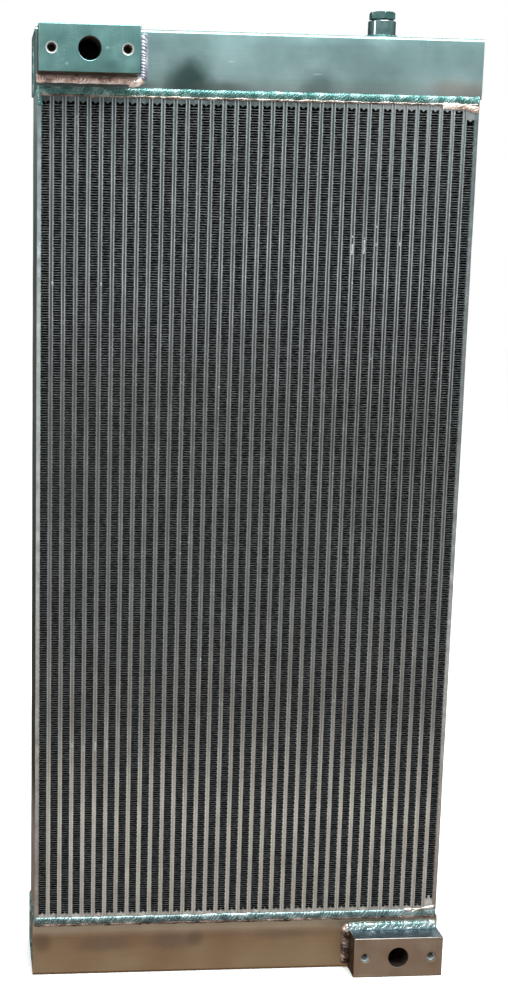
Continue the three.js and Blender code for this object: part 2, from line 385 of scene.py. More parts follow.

# Saw-cut and face-milled 6061 bar: a little brighter on the edges, with tool lines and dents. Its tone by
# height is painted reflection: warm floor light on the lower block, teal sky on the upper one.
blockMetal = metalFinish("machinedAluminiumBar", {
    "tone": {0.0: "#c9b9ac", 0.045: "#c4b4aa", 0.06: "#a6a9ac", 0.5: "#b0b2b1", 0.95: "#769896",
             0.97: "#82a8a6", 1.0: "#8bb2af"},
    "cloudSize": 30, "cloudDepth": 0.1, "lineScale": (700, 40, 25), "lineDepth": 0.05,
    "speckGap": 11, "speckChance": 0.2, "scratchShare": 0.7, "rough": (0.3, 0.42), "bump": 0.08,
    # paler saw arcs at the upper block's left end, a few dents, a grey haze at the lower one's right
    "patches": [
        ((-259, -93, 1128), (13, 200, 13), "#a9cbc9", 0.45),
        ((-258, -93, 1102), (12, 200, 13), "#a5c8c6", 0.4),
        ((-180, -93, 1115), (2.5, 200, 1.5), "#d8ecec", 0.6),
        ((-152, -93, 1100), (9, 200, 8), "#a3c4c2", 0.35),
        ((-225, -93, 1097), (2, 200, 2), "#d8ecec", 0.5),
        ((160, -93, 3), (16, 200, 2.5), "#e3cfc0", 0.6),
        ((225, -93, 18), (30, 200, 22), "#b9a79c", 0.4)]})

# Furnace-brazed clad aluminium: matt, with a flux haze that varies from strip to strip. Its tone by height
# is painted light and shade: a warm floor reflection low down, painted shade darkest about 700 mm up.
coreMetal = metalFinish("brazedAluminium", {
    "tone": {0.06: "#b0aaa4", 0.1: "#b5aea8", 0.187: "#bfb9b3", 0.294: "#918c88", 0.4: "#848281",
             0.507: "#7e7d7d", 0.614: "#757575", 0.69: "#818182", 0.76: "#939496", 0.85: "#8d8f91",
             0.92: "#8e9193"},
    "cloudSize": 25, "cloudDepth": 0.18, "lineScale": (160, 2, 6), "lineDepth": 0.14,
    "speckGap": 14, "speckChance": 0.2, "rough": (0.4, 0.55), "bump": 0.1, "metallic": 0.5})

# The oil-channel bars sit back between the sheets; their darker tone is painted shade of that recess.
shadedBarMetal = metalFinish("brazedBarPaintedShade", {
    "tone": {0.06: "#a99f97", 0.1: "#aea59c", 0.187: "#b6ada4", 0.294: "#78746f", 0.4: "#6e6c6a",
             0.507: "#616060", 0.614: "#555555", 0.76: "#4a4c4d", 0.92: "#505759"},
    "cloudSize": 30, "cloudDepth": 0.2, "lineScale": (160, 2, 6), "lineDepth": 0.14,
    "rough": (0.42, 0.58), "bump": 0.1, "metallic": 0.5, "patches": [
        # a paler patch high on the right, and painted shade at mid height on the right
        ((190, 0, 1050), (90, 400, 100), "#8d9194", 0.85),
        ((180, 0, 700), (120, 400, 230), "#313232", 0.8)]})

# The side plates are thicker extrusions, duller, with more smoke on them.
plateMetal = metalFinish("smokedAluminiumBar", {
    "tone": {0.06: "#8a7d75", 0.25: "#9d9792", 0.5: "#a8a9a9", 0.7: "#a4a8a9", 0.82: "#969da0",
             0.93: "#7c8a8c"},
    "cloudSize": 12, "cloudDepth": 0.3, "lineScale": (90, 3, 30), "lineDepth": 0.12,
    "speckGap": 8, "speckChance": 0.3, "rough": (0.38, 0.55), "bump": 0.15, "metallic": 0.6,
    "patches": [((256, -60, 760), (14, 400, 330), "#5a5e60", 0.75),
                ((256, -60, 1000), (14, 400, 110), "#54585a", 0.6)]})

# Painted shade on the outer face of the left side plate: near black, least near its two ends.
leftFaceShadeMetal = metalFinish("leftFacePaintedShade", {
    "tone": {0.16: "#857a70", 0.22: "#272824", 0.45: "#262822", 0.6: "#474a43", 0.7: "#53564d",
             0.78: "#4a4f49", 0.84: "#626864", 0.9: "#778080", 0.92: "#8f9898"},
    "cloudSize": 14, "cloudDepth": 0.2, "lineScale": (90, 3, 30), "lineDepth": 0.12,
    "speckGap": 9, "speckChance": 0.15, "rough": (0.4, 0.58), "bump": 0.12, "metallic": 0.6})

# Sawn and left as it was: dark brown painted shade for the port blocks' undersides and left-facing faces.
undersideShadeMetal = metalFinish("undersidePaintedShade", {
    "tone": {0.0: "#5e4a3c", 1.0: "#604334"}, "cloudSize": 15, "cloudDepth": 0.3,
    "lineScale": (40, 500, 40), "lineDepth": 0.15, "speckChance": 0.1, "rough": (0.4, 0.6), "bump": 0.15})

# Sawn top of the lower block, a flat slate blue on its upward faces.
slateMetal = metalFinish("slateTopAluminium", {
    "tone": {0.0: "#68727d", 1.0: "#68727d"}, "cloudSize": 20, "cloudDepth": 0.25,
    "lineScale": (40, 600, 40), "lineDepth": 0.12, "speckChance": 0.2, "rough": (0.35, 0.5), "bump": 0.12})

# The bars over the fins took the smoke of the tank welds: greenish grey, paler to the right.
endBarMetal = metalFinish("smokedClosingBar", {
    "tone": {0.06: "#b0aaa4", 0.9: "#525a5b", 1.0: "#525a5b"}, "cloudSize": 9, "cloudDepth": 0.4,
    "lineScale": (90, 3, 30), "lineDepth": 0.15, "speckGap": 6, "speckChance": 0.35, "rough": (0.38, 0.55),
    "bump": 0.2, "metallic": 0.6, "patches": [((230, 0, 1060), (150, 400, 60), "#8b8a8b", 0.9)]})

# A tool has just cut these faces: bright and clean.
cutMetal = metalFinish("freshCutAluminium", {
    "tone": {0.0: "#a5a7a6", 1.0: "#a9adac"}, "cloudDepth": 0.05, "lineDepth": 0.04,
    "speckChance": 0.02, "scratchShare": 0.0, "rough": (0.4, 0.5), "bump": 0.05, "metallic": 0.45})

# Painted shade for the bore walls and the tanks' insides: dark brown and glossy.
boreShadeMetal = metalFinish("borePaintedShade", {
    "tone": {0.0: "#3a2f28", 1.0: "#57493f"}, "cloudSize": 8, "cloudDepth": 0.4,
    "speckBright": "#6a5a4c", "speckChance": 0.05, "scratchShare": 0.0,
    "rough": (0.3, 0.5), "bump": 0.1, "metallic": 0.3})


def finFinish(name, look):
    # Folded 3003 strip: the walls are painted near black as shade deep in the fin passages, the sheared
    # edges keep a brighter metal tone.
    material, tree, shader = newMaterial(name)
    where = addNode(tree, "TexCoord").outputs["Object"]
    patchy = addNode(tree, "TexNoise", {"Vector": where, "Scale": look["patchScale"], "Detail": 2.0})
    tone = addNode(tree, "ValToRGB", {"Fac": patchy.outputs["Fac"]})
    setRamp(tone, {0.35: look["dark"], 0.65: look["light"]})
    tree.links.new(tone.outputs["Color"], shader.inputs["Base Color"])
    grain = addNode(tree, "TexNoise", {"Vector": where, "Scale": 900.0, "Detail": 2.0})
    gloss = addNode(tree, "MapRange", {"Value": grain.outputs["Fac"], "To Min": 0.5, "To Max": 0.8})
    tree.links.new(gloss.outputs["Result"], shader.inputs["Roughness"])
    shader.inputs["Metallic"].default_value = look["metallic"]
    shader.inputs["Specular IOR Level"].default_value = look["shine"]
    return material


# painted shade: near-black fin walls
finShadeMetal = finFinish("finStripPaintedShade", {
    "dark": "#030304", "light": "#0b0c0d", "patchScale": 90.0, "metallic": 0.0,
    "shine": 0.05})
finEdgeMetal = finFinish("shearedFinEdge", {
    "dark": "#535455", "light": "#909192", "patchScale": 200.0, "metallic": 0.7,
    "shine": 0.5})


def weldFinish(name, look):
    # TIG-welded 5356 filler: bright, glassy ripples with bands of heat tint and soot in the toes.
    material, tree, shader = newMaterial(name)
    where = addNode(tree, "TexCoord").outputs["Object"]
    tint = addNode(tree, "TexNoise", {"Vector": where, "Scale": 90.0, "Detail": 3.0})
    tone = addNode(tree, "ValToRGB", {"Fac": tint.outputs["Fac"]})
    setRamp(tone, {0.32: look["dark"], 0.5: look["mid"], 0.66: look["light"]})
    crystals = addNode(tree, "TexNoise", {"Vector": where, "Scale": 1400.0, "Detail": 3.0})
    soot = addNode(tree, "MapRange", {
        "Value": crystals.outputs["Fac"], "From Min": 0.3, "From Max": 0.5, "To Min": 0.6, "To Max": 1.0})
    sooted = addNode(tree, "VectorMath", {
        0: tone.outputs["Color"], 1: soot.outputs["Result"]}, operation="MULTIPLY")
    tree.links.new(sooted.outputs["Vector"], shader.inputs["Base Color"])
    gloss = addNode(tree, "MapRange", {
        "Value": tint.outputs["Fac"], "From Min": 0.3, "From Max": 0.7,
        "To Min": look["rough"][0], "To Max": look["rough"][1]})
    tree.links.new(gloss.outputs["Result"], shader.inputs["Roughness"])
    bump = addNode(tree, "Bump", {
        "Height": crystals.outputs["Fac"], "Strength": 0.25, "Distance": 0.0003})
    tree.links.new(bump.outputs["Normal"], shader.inputs["Normal"])
    shader.inputs["Metallic"].default_value = look["metallic"]
    return material


weldMetal = weldFinish("tigWeldAluminium", {
    "dark": "#527c78", "mid": "#739d9a", "light": "#afc8c7", "rough": (0.2, 0.34), "metallic": 0.75})
brightWeldMetal = weldFinish("tigWeldBright", {
    "dark": "#9fbdbc", "mid": "#cfe0e0", "light": "#f6fbfb", "rough": (0.14, 0.26), "metallic": 0.85})
greyWeldMetal = weldFinish("tigWeldGrey", {
    "dark": "#5f7274", "mid": "#859798", "light": "#bac9c9", "rough": (0.24, 0.4), "metallic": 0.8})
toeMetal = weldFinish("tigWeldToe", {
    "dark": "#6b5d58", "mid": "#a3938b", "light": "#cfc4bd", "rough": (0.25, 0.4), "metallic": 0.8})
sootyWeldMetal = weldFinish("tigWeldSooted", {
    "dark": "#2a201e", "mid": "#6f574e", "light": "#ae9288", "rough": (0.25, 0.45), "metallic": 0.6})
copperWeldMetal = weldFinish("tigWeldWarmTint", {
    "dark": "#a88c80", "mid": "#e6ccc1", "light": "#fbe9e0", "rough": (0.22, 0.4), "metallic": 0.5})
paleWeldMetal = weldFinish("tigWeldPale", {
    "dark": "#767380", "mid": "#95929e", "light": "#b8b6bf", "rough": (0.36, 0.5), "metallic": 0.5})


def turnedFinish(name, look):
    # Lathe-turned metal: close rings round the axis that stretch the reflections.
    material, tree, shader = newMaterial(name)
    where = addNode(tree, "TexCoord").outputs["Object"]
    rings = addNode(tree, "Mapping", {"Vector": where, "Scale": (60, 60, 2600)})
    ringNoise = addNode(tree, "TexNoise", {"Vector": rings.outputs["Vector"], "Scale": 1.0, "Detail": 2.0})
    smudge = addNode(tree, "TexNoise", {"Vector": where, "Scale": 160.0, "Detail": 3.0})
    tone = addNode(tree, "ValToRGB", {"Fac": smudge.outputs["Fac"]})
    setRamp(tone, {0.35: look["dark"], 0.65: look["light"]})
    tree.links.new(tone.outputs["Color"], shader.inputs["Base Color"])
    gloss = addNode(tree, "MapRange", {
        "Value": ringNoise.outputs["Fac"], "From Min": 0.3, "From Max": 0.7,
        "To Min": look["rough"][0], "To Max": look["rough"][1]})
    tree.links.new(gloss.outputs["Result"], shader.inputs["Roughness"])
    bump = addNode(tree, "Bump", {
        "Height": ringNoise.outputs["Fac"], "Strength": look["bump"], "Distance": 0.0002})
    tree.links.new(bump.outputs["Normal"], shader.inputs["Normal"])
    shader.inputs["Metallic"].default_value = 1.0
    return material


bossMetal = turnedFinish("turnedAluminium", {
    "dark": "#8fa09f", "light": "#aab6b6", "rough": (0.08, 0.16), "bump": 0.1})
plugMetal = turnedFinish("zincNickelSteel", {
    "dark": "#7ea29f", "light": "#9fbab7", "rough": (0.16, 0.28), "bump": 0.1})


def rubberFinish():
    # Moulded nitrile rubber: near-black with a dull sheen and a little bloom.
    material, tree, shader = newMaterial("nitrileRubber")
    where = addNode(tree, "TexCoord").outputs["Object"]
    bloom = addNode(tree, "TexNoise", {"Vector": where, "Scale": 420.0, "Detail": 3.0})
    tone = addNode(tree, "ValToRGB", {"Fac": bloom.outputs["Fac"]})
    setRamp(tone, {0.35: "#151617", 0.7: "#2c2e2f"})
    tree.links.new(tone.outputs["Color"], shader.inputs["Base Color"])
    gloss = addNode(tree, "MapRange", {"Value": bloom.outputs["Fac"], "To Min": 0.45, "To Max": 0.7})
    tree.links.new(gloss.outputs["Result"], shader.inputs["Roughness"])
    shader.inputs["IOR"].default_value = 1.52
    return material


rubber = rubberFinish()
print("materials ready")


cameraSetup = {
    "place": (-334.0, -2047.0, 896.2), "turn": (78.2789, -0.9117, -5.6621),
    "lens": 60.81, "shift": (0.114, 0.10)}

deselect()
bpy.ops.object.camera_add(
    location=Vector(cameraSetup["place"]) * mm,
    rotation=[math.radians(angle) for angle in cameraSetup["turn"]])
camera = bpy.context.object
camera.name = "camera"
camera.data.lens = cameraSetup["lens"]
camera.data.sensor_width = 36
camera.data.shift_x, camera.data.shift_y = cameraSetup["shift"]
bpy.context.scene.camera = camera

studio = {
    "floorHalf": 14.0, "floorTone": "#ffffff", "skyPower": 1.0, "seenTone": "#ffffff",
    "sky": {0.0: "#6e5a46", 0.3: "#9c8369", 0.36: "#a39383", 0.42: "#b3b0ac", 0.47: "#a9b0af",
            0.52: "#7c908e", 0.6: "#93b3b1", 0.75: "#bcd8d8", 1.0: "#e0f0f0"}}


def studioFloor():
    deselect()
    bpy.ops.mesh.primitive_plane_add(size=1, location=(0, 0, 0))
    floor = named("studioFloor")
    floor.scale = (studio["floorHalf"] * 2, studio["floorHalf"] * 2, 1)
    placeHere(floor)
    # painted board: matt white
    material, tree, shader = newMaterial("paintedBoard")
    shader.inputs["Base Color"].default_value = toLinear(studio["floorTone"])
    shader.inputs["Roughness"].default_value = 0.9
    shader.inputs["Specular IOR Level"].default_value = 0.0
    floor.data.materials.append(material)
    floor.visible_glossy = False  # the metal mirrors the room, not the bright board


studioFloor()


softLights = {  # places, aims and sizes in metres, power in watts
    "keyLight": {"place": (0.4, -1.5, 3.0), "aim": (0, 0, 0.6), "size": (2.4, 1.2),
                 "power": 120, "tone": "#f4ffff"},
    "sideLight": {"place": (-3.2, -1.0, 1.3), "aim": (0, 0, 0.7), "size": (0.5, 2.2),
                  "power": 26, "tone": "#ffffff"},
    "backLight": {"place": (0.8, 2.6, 2.6), "aim": (0, 0, 0.6), "size": (2.4, 1.2),
                  "power": 40, "tone": "#fffaf2"}}


def softLight(name, place, aim, size, power, tone):
    deselect()
    bpy.ops.object.light_add(type="AREA", location=place)
    light = bpy.context.object
    light.name = name
    light.data.shape = "RECTANGLE"
    light.data.size, light.data.size_y = size
    light.data.energy = power
    light.data.color = toLinear(tone)[:3]
    towards = Vector(aim) - Vector(place)
    light.rotation_euler = towards.to_track_quat("-Z", "Y").to_euler()


for name, settings in softLights.items():
    softLight(name, **settings)


def studioWorld():
    # a pale room: teal daylight from above, a brown floor below, dimmer behind the cooler
    world = bpy.data.worlds.new("studioWorld")
    bpy.context.scene.world = world
    world.use_nodes = True
    tree = world.node_tree
    tree.nodes.clear()
    parts = addNode(tree, "SeparateXYZ", {"Vector": addNode(tree, "TexCoord").outputs["Generated"]})
    rise = addNode(tree, "MapRange", {"Value": parts.outputs["Z"], "From Min": -1.0, "From Max": 1.0})
    tone = addNode(tree, "ValToRGB", {"Fac": rise.outputs["Result"]})
    setRamp(tone, studio["sky"])
    ahead = addNode(tree, "MapRange", {
        "Value": parts.outputs["Y"], "From Min": -0.2, "From Max": 0.7, "To Min": 1.0, "To Max": 0.35})
    room = addNode(tree, "VectorMath", {
        0: tone.outputs["Color"], 1: ahead.outputs["Result"]}, operation="MULTIPLY")
    mirrored = addNode(tree, "LightPath").outputs["Is Glossy Ray"]
    shown = addNode(tree, "Mix", {
        0: mirrored, 6: toLinear(studio["seenTone"]), 7: room.outputs["Vector"]}, data_type="RGBA")
    light = addNode(tree, "Background", {"Color": shown.outputs[2], "Strength": studio["skyPower"]})
    addNode(tree, "OutputWorld", {"Surface": light.outputs["Background"]})


studioWorld()
bpy.context.scene.view_settings.view_transform = "Standard"
print("studio ready")


core = {
    "columns": 36, "pitch": 14.1, "passage": 9.5, "sheet": 0.8, "bar": 3.0, "barDepth": 6.0,
    "halfDepth": 60.0, "bottom": 68.0, "top": 1072.0, "closing": 12.0, "setback": 10.0,
    "plate": 5.0, "halfWidth": 256.5, "barBack": 1.3, "ripple": 0.16, "cuts": 40,
    "braze": 0.35,  # how far the braze fillets widen a sheet towards its bar
    "sheetEdge": 0.22, "barEdge": 0.5, "barSink": 0.175, "barWander": 0.35}


def columnX(column):
    return (column - (core["columns"] - 1) / 2) * core["pitch"]


def partingSheets():
    # one clad sheet, its long edges a little uneven from the shears, copied to both sides of
    # each oil channel
    wide = core["sheet"] + core["braze"]
    master = barStock("sheetStock", (-wide / 2, -core["halfDepth"], core["bottom"]),
                      (wide / 2, core["halfDepth"], core["top"]))
    divideEdges(master, lambda edge: runsAlong(edge, 2), core["cuts"])
    bevelEdges(master, lambda edge: runsAlong(edge, 2), core["sheetEdge"], 1)
    dice = random.Random(11)
    sheets = []
    for column in range(core["columns"] - 1):
        for side in (-1, 1):
            twin = copyOf(master, f"sheet{column}{side}")
            middle = columnX(column) + core["pitch"] / 2
            x = middle + side * (core["bar"] + core["sheet"] - core["braze"]) / 2
            drift = dice.uniform(0, 90)
            for vert in twin.data.vertices:
                atEdge = abs(vert.co.y) > (core["halfDepth"] - 1) * mm
                wander = noise.noise(Vector((drift, vert.co.z * 30, math.copysign(3, vert.co.y))))
                if atEdge:
                    vert.co.x += (wander * core["ripple"] * 1.5) * mm
                    vert.co.y -= math.copysign(abs(wander) * core["ripple"], vert.co.y) * mm
                vert.co.x += x * mm
            sheets.append(twin)
    bpy.data.objects.remove(master)
    finishPiece(joined("partingSheets", sheets), coreMetal, ["core_matrix"])


def oilBars(name, side):
    # the bars that close the oil channels at one face, a little behind the sheet edges
    face = side * (core["halfDepth"] - core["barBack"])
    back = face - side * core["barDepth"]
    low, high = min(face, back), max(face, back)
    half = core["bar"] / 2 - core["braze"]
    master = barStock("barStock", (-half, low, core["bottom"]), (half, high, core["top"]))
    divideEdges(master, lambda edge: runsAlong(edge, 2), core["cuts"])
    nearFace = (abs(face) - 1) * mm
    bevelEdges(master, lambda edge: runsAlong(edge, 2) and edge.verts[0].co.y * side > nearFace,
               core["barEdge"], 2)
    bars = []
    for column in range(core["columns"] - 1):
        twin = copyOf(master, f"bar{column}{side}")
        middle = columnX(column) + core["pitch"] / 2
        for vert in twin.data.vertices:
            if vert.co.y * side > nearFace:
                wander = noise.noise(Vector((column * 7.3, vert.co.z * 22, side * 5)))
                vert.co.y -= side * (core["barSink"] + wander * core["barWander"]) * mm
            vert.co.x += middle * mm
        bars.append(twin)
    bpy.data.objects.remove(master)
    finishPiece(joined(name, bars), shadedBarMetal, ["core_matrix"])


closingShape = {"tooth": 2.6, "lip": 0.7, "valley": 2.4, "clear": 0.05, "setIn": 0.4, "edge": 0.25,
                "lean": 0.25, "sink": 0.5, "roughness": 0.1}


def closingBars(name, isTop):
    # extruded bar with a pointed tooth and two side lips facing the fins
    half = core["passage"] / 2 - closingShape["clear"]
    reach = core["halfDepth"] - closingShape["setIn"]
    master = barStock("closingStock", (-half, -reach, 0), (half, reach, core["closing"]))
    cutAcross(master, 0, [-closingShape["valley"] * mm, 0.0, closingShape["valley"] * mm])
    for vert in master.data.vertices:
        if vert.co.z < 1 * mm:
            if abs(vert.co.x) < 0.1 * mm:
                vert.co.z -= closingShape["tooth"] * mm
            elif abs(vert.co.x) > (half - 0.1) * mm:
                vert.co.z -= closingShape["lip"] * mm
    bevelEdges(master, lambda edge: runsAlong(edge, 1) and edge.verts[0].co.z < 1 * mm,
               closingShape["edge"], 1)
    dice = random.Random(23 if isTop else 29)
    bars = []
    for column in range(core["columns"]):
        twin = copyOf(master, f"closing{column}{isTop}")
        deeper = core["setback"] if column == core["columns"] - 1 else 0
        height = core["closing"] + deeper
        foot = core["top"] - height if isTop else core["bottom"] + height
        lean = dice.uniform(-closingShape["lean"], closingShape["lean"])
        sink = dice.uniform(0.0, closingShape["sink"])
        uneven = closingShape["roughness"]
        for vert in twin.data.vertices:
            x, y, z = vert.co
            z += (lean * x / half) + (dice.uniform(-uneven, uneven) * mm if z < 1 * mm else 0)
            y -= math.copysign(sink * mm, y)
            vert.co = (x + columnX(column) * mm, y, foot * mm + (z if isTop else -z))
        bars.append(twin)
    bpy.data.objects.remove(master)
    piece = joined(name, bars)
    tidyNormals(piece)
    finishPiece(piece, endBarMetal, ["core_matrix"], sharp=25)


sidePlateShape = {"edge": 0.7, "cuts": 70, "wander": 0.3, "faceWander": 0.25,
                  "dentAt": 905.0, "dentReach": 26.0, "dentDepth": 0.5}


def sidePlate(name, node, side):
    outer = side * core["halfWidth"]
    inner = outer - side * core["plate"]
    plate = barStock(name, (min(outer, inner), -core["halfDepth"], core["bottom"]),
                     (max(outer, inner), core["halfDepth"], core["top"]))
    divideEdges(plate, lambda edge: runsAlong(edge, 2), sidePlateShape["cuts"])
    bevelEdges(plate, lambda edge: runsAlong(edge, 2), sidePlateShape["edge"], 2)
    for vert in plate.data.vertices:
        wander = noise.noise(Vector((side * 4, vert.co.y * 25, vert.co.z * 14)))
        away = abs(vert.co.z / mm - sidePlateShape["dentAt"])
        near = max(0.0, 1 - away / sidePlateShape["dentReach"])
        chip = noise.noise(Vector((side * 9, vert.co.y * 60, vert.co.z * 150)))
        dent = near * abs(chip) * sidePlateShape["dentDepth"]
        if vert.co.x * side > (core["halfWidth"] - 1) * mm:
            vert.co.x -= side * (abs(wander) * sidePlateShape["wander"] + dent) * mm
        if vert.co.y < -(core["halfDepth"] - 1) * mm:
            vert.co.y += (abs(wander) * sidePlateShape["faceWander"] + dent) * mm
    finishPiece(plate, plateMetal, [node])
    if side < 0:
        # painted shade on the left plate's left-facing outer face
        paintFaces(plate, [leftFaceShadeMetal], lambda face: int(face.normal.x < -0.85))


partingSheets()
oilBars("frontOilBars", -1)
oilBars("backOilBars", 1)
closingBars("topClosingBars", True)
closingBars("bottomClosingBars", False)
sidePlate("leftSidePlate", "side_plate_left", -1)
sidePlate("rightSidePlate", "side_plate_right", 1)
print("core ready")


finShape = {
    "sheet": 0.64,  # drawn thicker than the real 0.2 mm strip so that its edges show
    "spacing": 2.872, "reach": 4.65, "turn": 0.5, "wave": 2.6, "waves": 4, "depth": 118.0,
    "endGap": 1.6, "folds": 170, "shake": 0.1, "innerShake": 0.05, "sideShake": 0.08,
    "edgeShake": 0.3, "bunch": 0.28, "shakenFrom": 50.0, "edgeFrom": 57.0,
    "calmEnds": 12.0}  # all in mm


def finPack():
    reach, turn, spacing = finShape["reach"], finShape["turn"], finShape["spacing"]
    profile = [(-reach + turn, 0), (reach - turn, 0), (reach, spacing / 2), (reach - turn, spacing),
               (-reach + turn, spacing), (-reach, spacing * 1.5), (-reach + turn, spacing * 2)]
    deselect()
    bpy.ops.mesh.primitive_grid_add(x_subdivisions=6, y_subdivisions=finShape["waves"], size=1)
    fold = named("finFold")
    for vert in fold.data.vertices:
        step = round((vert.co.x + 0.5) * 6)
        row = round((vert.co.y + 0.5) * finShape["waves"])
        x, z = profile[step]
        z += finShape["wave"] * (row % 2)
        vert.co = Vector((x, vert.co.y * finShape["depth"], z)) * mm
    useModifier(fold, "ARRAY", count=finShape["folds"], use_relative_offset=False,
                use_constant_offset=True, constant_offset_displace=(0, 0, spacing * 2 * mm),
                use_merge_vertices=True, merge_threshold=0.02 * mm)
    return fold


def airFins():
    master = finPack()
    calmEnds = finShape["calmEnds"] * mm
    lastFold = (core["top"] - core["bottom"] - 40) * mm
    for column in range(core["columns"]):
        number = f"{column + 1:02d}"
        fin = copyOf(master, f"airFin{number}")
        dice = random.Random(100 + column)
        isLast = column == core["columns"] - 1
        setback = core["setback"] if isLast else 0
        start = core["bottom"] + core["closing"] + finShape["endGap"] + setback
        if isLast:
            limit = (core["top"] - core["closing"] - setback - finShape["endGap"]
                     - start - finShape["wave"]) * mm
            removeChosen(fin, "VERT", lambda vert: vert.co.z > limit)
        for vert in fin.data.vertices:
            x, y, z = vert.co
            isOuter = abs(y) > finShape["shakenFrom"] * mm
            shake = finShape["shake"] if isOuter else finShape["innerShake"]
            bunch = noise.noise(Vector((column * 3.7, z * 55, math.copysign(2, y)))) * finShape["bunch"]
            ends = min(1.0, z / calmEnds, (lastFold - z) / calmEnds)
            z += (dice.gauss(0, shake) + bunch * max(0.0, ends)) * mm
            y += dice.uniform(-finShape["edgeShake"], finShape["edgeShake"]) * mm if isOuter else 0
            x += dice.uniform(-1, 1) * finShape["sideShake"] * mm
            vert.co = (x + columnX(column) * mm, y, z + start * mm)
        useModifier(fin, "SOLIDIFY", thickness=finShape["sheet"] * mm, offset=0)
        finishPiece(fin, finShadeMetal, [f"air_fin_{number}"], sharp=60)
        paintFaces(fin, [finEdgeMetal], lambda face: int(
            abs(face.normal.y) > 0.8 and abs(face.center.y) > finShape["edgeFrom"] * mm))
    bpy.data.objects.remove(master)


airFins()
print("fins ready")


tank = {"halfWidth": 258.5, "height": 67.7, "wall": 5.0, "corner": 4.0, "lip": 9.0, "lipLean": 1.1,
        "sag": 0.22, "topFoot": 1072.3, "portHole": 13.0, "ventHole": 11.0}
tankEnd = {"setIn": 2.0, "plate": 5.0, "height": 62.4, "foot": 5.3, "clear": 0.3, "edge": 0.8,
           "panelEdge": 9.0, "panelDepth": 0.5}


def portAt(x, z):
    halfWidth, halfHeight = 57.0, 26.0
    return {"x": x, "z": z, "left": x - halfWidth, "right": x + halfWidth,
            "low": z - halfHeight, "high": z + halfHeight}


inletPort = portAt(-199.5, 1114.0)
outletPort = portAt(201.5, 26.0)
vent = {"x": 142.5, "y": -36.0, "foot": 1140.3, "seat": 1158.8}


def tankShell(name, node, isTop):
    low = tank["topFoot"] if isTop else 0.0
    shell = barStock(name, (-tank["halfWidth"], -core["halfDepth"], low),
                     (tank["halfWidth"], core["halfDepth"], low + tank["height"]))
    openSide = -1 if isTop else 1
    removeChosen(shell, "FACE", lambda face: (
        abs(face.normal.x) > 0.9 or face.normal.z * openSide > 0.9))
    closedZ = (low + tank["height"] if isTop else low) * mm
    bevelEdges(shell, lambda edge: runsAlong(edge, 0) and all(
        abs(v.co.z - closedZ) < 0.1 * mm for v in edge.verts), tank["corner"], 8)
    crease = low + tank["lip"] if isTop else low + tank["height"] - tank["lip"]
    cutAcross(shell, 2, [crease * mm])
    divideEdges(shell, lambda edge: runsAlong(edge, 2) and edge.calc_length() > 20 * mm, 4)
    divideEdges(shell, lambda edge: runsAlong(edge, 0), 40)
    mouth = low if isTop else low + tank["height"]
    for vert in shell.data.vertices:
        wave = noise.noise(Vector((vert.co.x * 9, vert.co.z * 14, 3.0 if isTop else 8.0)))
        flat = abs(vert.co.y) > (core["halfDepth"] - 0.05) * mm
        if flat:
            vert.co.y -= math.copysign(abs(wave) * tank["sag"] * mm, vert.co.y)
            lean = max(0.0, 1 - abs(vert.co.z / mm - mouth) / tank["lip"])
            vert.co.y -= math.copysign(lean * tank["lipLean"] * mm, vert.co.y)
    tidyNormals(shell)
    useModifier(shell, "SOLIDIFY", thickness=tank["wall"] * mm, offset=-1)
    port = inletPort if isTop else outletPort
    place = (port["x"], -core["halfDepth"], port["z"])
    cutWith(shell, roundStock("portCutter", place, tank["portHole"], 30, "Y"), "MANIFOLD")
    if isTop:
        place = (vent["x"], vent["y"], low + tank["height"])
        cutWith(shell, roundStock("ventCutter", place, tank["ventHole"], 30), "MANIFOLD")
    finishPiece(shell, tankMetal, [node], sharp=40)

    def isInside(face):
        # the walls' inner faces, and the bottom tank's floor seen from inside
        y, z = abs(face.center.y), face.center.z
        deep = y < (core["halfDepth"] - tank["wall"] + 0.5) * mm
        walled = (low + 1) * mm < z < (low + tank["height"] - tank["wall"] + 0.5) * mm
        return deep and (walled or (not isTop and z > (tank["wall"] - 0.5) * mm))

    # painted shade: the tanks' insides take the dark bore finish so that the ports look dark
    paintFaces(shell, [boreShadeMetal], lambda face: int(isInside(face)))


def tankCap(name, node, isTop, side):
    low = tank["topFoot"] if isTop else tankEnd["foot"]
    outer = side * (tank["halfWidth"] - tankEnd["setIn"])
    inner = outer - side * tankEnd["plate"]
    half = core["halfDepth"] - tank["wall"] - tankEnd["clear"]
    cap = barStock(name, (min(outer, inner), -half, low),
                   (max(outer, inner), half, low + tankEnd["height"]))
    bevelEdges(cap, lambda edge: all(v.co.x * side > (abs(outer) - 1) * mm for v in edge.verts),
               tankEnd["edge"], 2)
    choose(cap, "FACE", lambda face: face.normal.x * side > 0.9)
    bpy.ops.mesh.inset(thickness=tankEnd["panelEdge"] * mm, depth=-tankEnd["panelDepth"] * mm)
    leaveEdit()
    finishPiece(cap, tankMetal, [node])


tankShell("topTankShell", "top_tank_shell", True)
tankShell("bottomTankShell", "bottom_tank_shell", False)
for isTop, tankName in ((True, "top"), (False, "bottom")):
    for side, sideName in ((-1, "Left"), (1, "Right")):
        tankCap(f"{tankName}TankCap{sideName}", f"{tankName}_tank_cap_{sideName.lower()}", isTop, side)
print("tanks ready")


blockShape = {"face": -93.0, "foot": -60.3, "edge": 0.9, "bore": 13.0, "boreChamfer": 0.5,
              "boltSpacing": 85.0, "bolt": 5.1, "boltDepth": 26.0, "boltChamfer": 1.6,
              "threadPitch": 1.75, "threadHeight": 0.7, "threadStart": 2.6, "threadShort": 4.0,
              "cutter": 60}
ridgeShape = {"sunk": 0.25, "foot": 0.42, "crest": 0.084}  # sunk in mm, foot and crest in pitches


